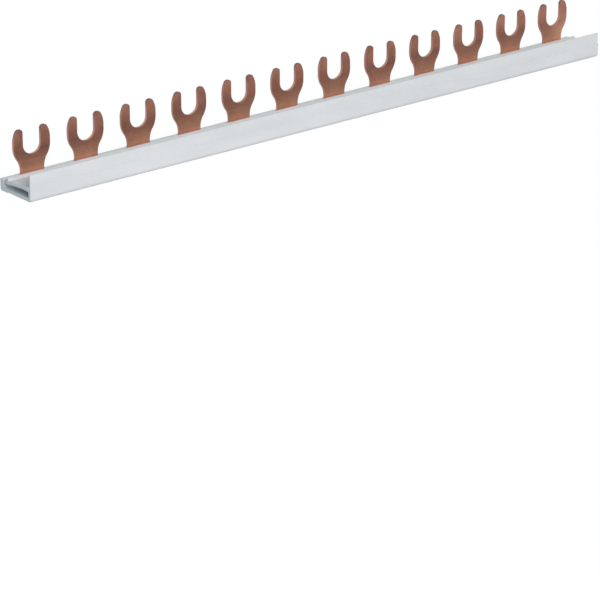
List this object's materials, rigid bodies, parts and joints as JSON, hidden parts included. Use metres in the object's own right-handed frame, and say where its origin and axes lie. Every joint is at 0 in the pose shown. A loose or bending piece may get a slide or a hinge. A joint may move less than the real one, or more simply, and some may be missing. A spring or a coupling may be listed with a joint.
{
  "type": "phase busbar",
  "caption": "Single-phase fork busbar: a stamped copper comb with upright forks, held in an open extruded plastic profile.",
  "frame": {"origin": "middle of the length and depth, at the level it stands on", "axes": "+X along the row of forks, front wall towards -Y, forks point +Z"},
  "size_m": [0.2136, 0.0138, 0.0163],
  "materials": {
    "grey_plastic": "satin extruded rigid plastic, light grey",
    "copper": "bare rolled copper, dull, slightly tarnished"
  },
  "bodies": {
    "root": {"insulating_profile": "grey_plastic", "copper_comb": "copper"}
  },
  "joints": []
}
